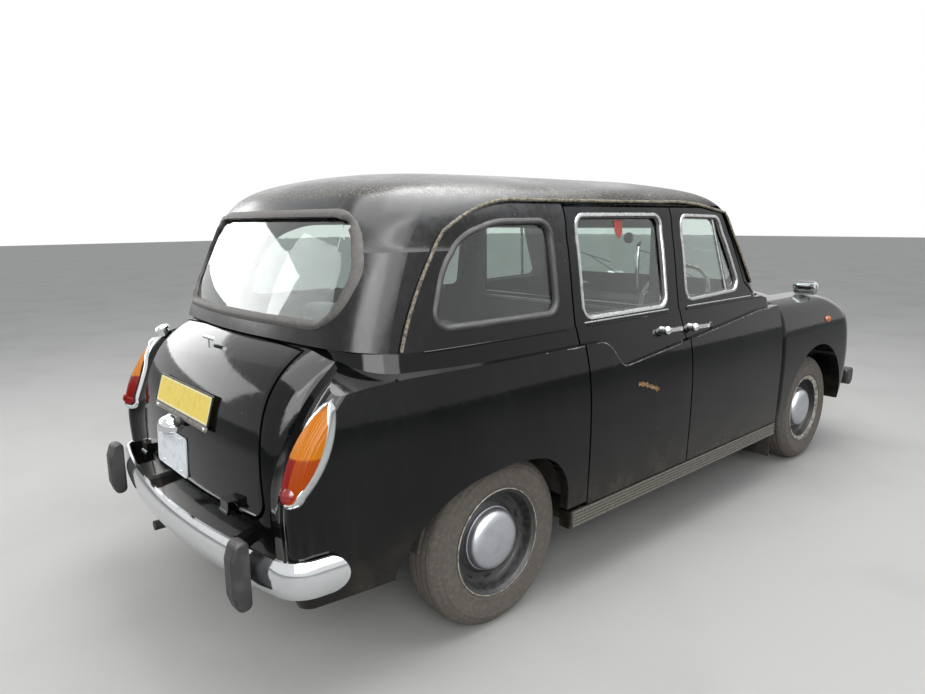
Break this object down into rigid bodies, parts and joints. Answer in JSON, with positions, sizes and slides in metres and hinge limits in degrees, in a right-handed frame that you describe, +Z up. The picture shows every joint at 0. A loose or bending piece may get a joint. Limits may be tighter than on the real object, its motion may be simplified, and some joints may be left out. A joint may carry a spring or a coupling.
{
  "type": "taxi cab",
  "caption": "Black four-door saloon taxi cab with a tall cabin, separate wings, rear-hinged passenger doors, drop-down boot lid, steered front wheels and a partitioned cabin.",
  "frame": {"origin": "on the ground, midway between the ends of the bumpers and on the centre line", "axes": "+X forward, +Y to the cab's left, +Z up; the cab stands on its four tyres"},
  "size_m": [4.584, 1.7322, 1.762],
  "materials": {
    "black_paint": "black gloss coach paint, weathered",
    "chrome": "polished chrome plate",
    "glass": "clear flat safety glass",
    "tyre": "dusty road tyre rubber",
    "wheel_paint": "dark grey painted pressed steel",
    "rubber": "black moulded rubber",
    "aluminium": "ribbed extruded aluminium",
    "underbody_paint": "satin black chassis paint",
    "cast_iron": "oily cast iron",
    "seat_vinyl": "black grained seat covering",
    "trim_plastic": "black matte interior trim",
    "headlamp_glass": "fluted lamp glass in a bright ring",
    "lamp_plastic": "amber and red lamp lens"
  },
  "bodies": {
    "body": {"chassis_frame": "underbody_paint", "dashboard": "trim_plastic", "driveline": "cast_iron", "driver_seat": "seat_vinyl", "engine": "cast_iron", "exhaust": "underbody_paint", "fixed_windows": "glass", "floor_pan": "underbody_paint", "front_bumper": "chrome", "front_suspension": "underbody_paint", "front_wing_left": "black_paint", "front_wing_right": "black_paint", "fuel_tank": "underbody_paint", "grille": "chrome", "headlamps": "headlamp_glass", "mirrors": "chrome", "nose_panel": "black_paint", "overriders": "rubber", "partition": "trim_plastic", "radiator": "underbody_paint", "rear_axle": "underbody_paint", "rear_bumper": "chrome", "rear_quarter_left": "black_paint", "rear_quarter_right": "black_paint", "rear_seat": "seat_vinyl", "roof_shell": "black_paint", "scuttle": "black_paint", "sill_strips": "aluminium", "sills": "black_paint", "tail_lamps": "lamp_plastic", "tail_panel": "black_paint", "tip_up_seats": "seat_vinyl", "wheel_housings": "underbody_paint"},
    "door_front_right_body": {"door_front_right": "black_paint", "glass_front_right": "glass", "handle_front_right": "chrome"},
    "wheel_front_right_body": {"tyre_front_right": "tyre", "wheel_front_right": "wheel_paint"},
    "door_front_left_body": {"door_front_left": "black_paint", "glass_front_left": "glass", "handle_front_left": "chrome"},
    "wheel_front_left_body": {"tyre_front_left": "tyre", "wheel_front_left": "wheel_paint"},
    "door_rear_right_body": {"door_rear_right": "black_paint", "glass_rear_right": "glass", "handle_rear_right": "chrome"},
    "wheel_rear_right_body": {"tyre_rear_right": "tyre", "wheel_rear_right": "wheel_paint"},
    "door_rear_left_body": {"door_rear_left": "black_paint", "glass_rear_left": "glass", "handle_rear_left": "chrome"},
    "wheel_rear_left_body": {"tyre_rear_left": "tyre", "wheel_rear_left": "wheel_paint"},
    "boot_lid_body": {"boot_lid": "black_paint", "boot_handle": "chrome"},
    "bonnet_body": {"bonnet": "black_paint"},
    "knuckle_right_body": {"knuckle_right": "underbody_paint"},
    "knuckle_left_body": {"knuckle_left": "underbody_paint"},
    "steering_wheel_body": {"steering_wheel": "trim_plastic"}
  },
  "joints": [
    {"name": "rear_right_door_hinge", "type": "hinge", "parent": "body", "child": "door_rear_right_body", "pos_m": [-0.758, -0.85, 0.6], "axis": [0, -0.0872, -0.9962], "range_deg": [0, 70]},
    {"name": "rear_left_door_hinge", "type": "hinge", "parent": "body", "child": "door_rear_left_body", "pos_m": [-0.758, 0.85, 0.6], "axis": [0, -0.0872, 0.9962], "range_deg": [0, 70]},
    {"name": "front_right_door_hinge", "type": "hinge", "parent": "body", "child": "door_front_right_body", "pos_m": [0.882, -0.85, 0.6], "axis": [0, 0.0872, 0.9962], "range_deg": [0, 68]},
    {"name": "front_left_door_hinge", "type": "hinge", "parent": "body", "child": "door_front_left_body", "pos_m": [0.882, 0.85, 0.6], "axis": [0, 0.0872, -0.9962], "range_deg": [0, 68]},
    {"name": "boot_lid_hinge", "type": "hinge", "parent": "body", "child": "boot_lid_body", "pos_m": [-2.199, 0, 0.618], "axis": [0, -1, 0], "range_deg": [0, 80]},
    {"name": "bonnet_hinge", "type": "hinge", "parent": "body", "child": "bonnet_body", "pos_m": [0.963, 0, 1.149], "axis": [0, -1, 0], "range_deg": [0, 55]},
    {"name": "knuckle_left_steer", "type": "hinge", "parent": "body", "child": "knuckle_left_body", "pos_m": [1.5225, 0.625, 0.338], "axis": [0, 0, 1], "range_deg": [-34, 34]},
    {"name": "knuckle_right_steer", "type": "hinge", "parent": "body", "child": "knuckle_right_body", "pos_m": [1.5225, -0.625, 0.338], "axis": [0, 0, 1], "range_deg": [-34, 34]},
    {"name": "steering_wheel_turn", "type": "hinge", "parent": "body", "child": "steering_wheel_body", "pos_m": [0.548, -0.38, 1.128], "axis": [-0.8, 0, 0.6], "range_deg": [-545, 545]},
    {"name": "front_left_wheel_spin", "type": "hinge", "parent": "knuckle_left_body", "child": "wheel_front_left_body", "pos_m": [1.5225, 0.711, 0.338], "axis": [0, 1, 0], "continuous": true},
    {"name": "front_right_wheel_spin", "type": "hinge", "parent": "knuckle_right_body", "child": "wheel_front_right_body", "pos_m": [1.5225, -0.711, 0.338], "axis": [0, 1, 0], "continuous": true},
    {"name": "rear_left_wheel_spin", "type": "hinge", "parent": "body", "child": "wheel_rear_left_body", "pos_m": [-1.2875, 0.711, 0.338], "axis": [0, 1, 0], "continuous": true},
    {"name": "rear_right_wheel_spin", "type": "hinge", "parent": "body", "child": "wheel_rear_right_body", "pos_m": [-1.2875, -0.711, 0.338], "axis": [0, 1, 0], "continuous": true}
  ],
  "couplings": [
    {"joint": "knuckle_right_steer", "follows": "knuckle_left_steer", "ratio": 1},
    {"joint": "steering_wheel_turn", "follows": "knuckle_left_steer", "ratio": 16}
  ]
}
